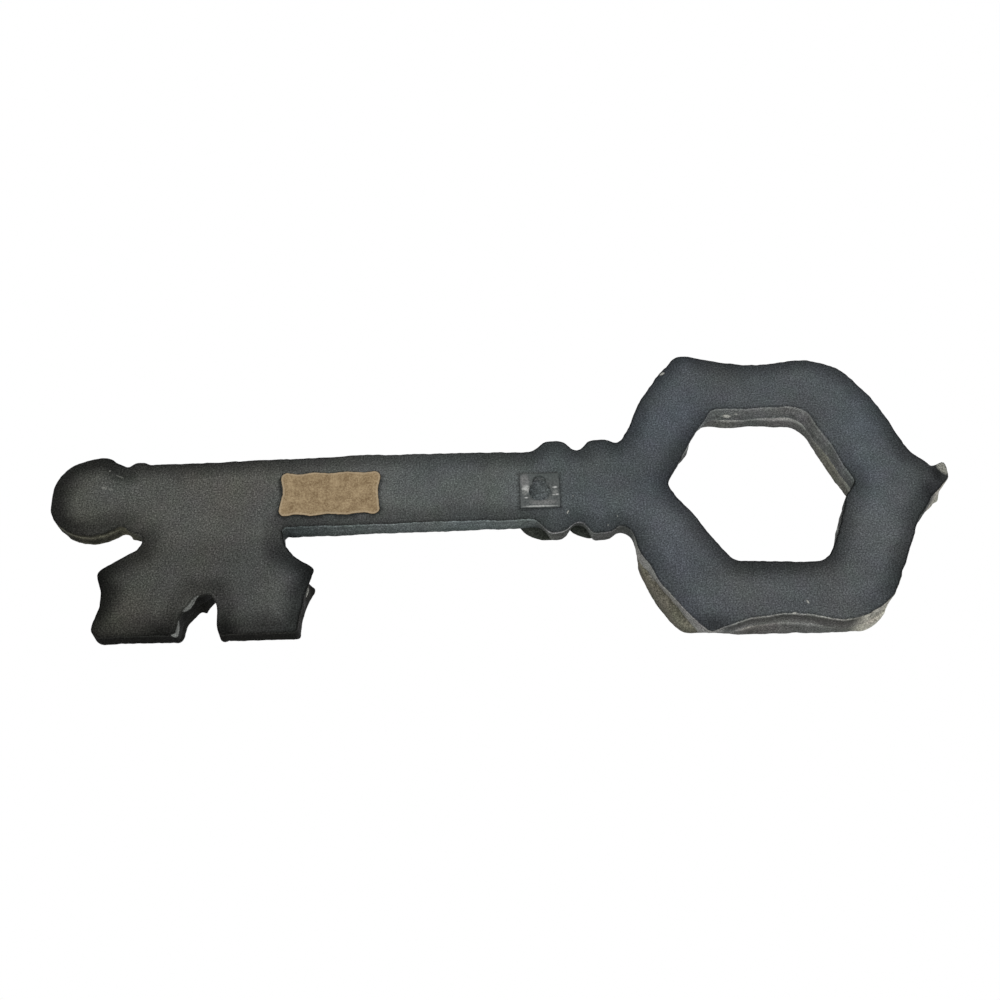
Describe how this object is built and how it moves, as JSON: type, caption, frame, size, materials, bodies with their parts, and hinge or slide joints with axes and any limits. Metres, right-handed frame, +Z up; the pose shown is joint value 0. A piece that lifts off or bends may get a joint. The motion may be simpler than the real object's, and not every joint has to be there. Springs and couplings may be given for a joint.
{
  "type": "wall-hung skeleton key sign",
  "caption": "Oversized flat skeleton key that hangs level on a wall, built as a backing board with relief pieces on its front and a keyhole hanger plate in its back.",
  "frame": {"origin": "the hanging nail's seat at the top of the hanger's keyhole, in the plane of the key's flat back", "axes": "+Z up as the key hangs, +X along the shaft towards the bit and the ball, +Y out of the flat back towards the wall; the relief faces -Y"},
  "size_m": [0.4065, 0.02, 0.1444],
  "materials": {
    "board_paint": "matt dark grey stippled paint over wood, worn at the edges",
    "relief_paint": "matt grey and olive paint over wood, worn at the edges",
    "bead_paint": "matt dark olive paint over wood",
    "plate_steel": "thin grey paint over pressed steel, rubbed to bare metal beside the keyhole",
    "nail_steel": "bright nail heads with a little grey paint",
    "kraft_paper": "plain brown paper, glued flat",
    "pin_steel": "steel panel pins, their heads painted over"
  },
  "bodies": {
    "root": {"backing_board": "board_paint", "bow_ring": "relief_paint", "shaft_moulding": "relief_paint", "bead_near_bow": "bead_paint", "bead_near_shaft": "bead_paint", "neck_ring": "bead_paint", "end_ball": "relief_paint", "bit_block": "relief_paint", "hanger_plate": "plate_steel", "hanger_nails": "nail_steel", "paper_label": "kraft_paper", "bow_pins": "pin_steel", "shaft_pins": "pin_steel", "bead_pins": "pin_steel", "ball_pins": "pin_steel", "bit_pins": "pin_steel"}
  },
  "joints": []
}
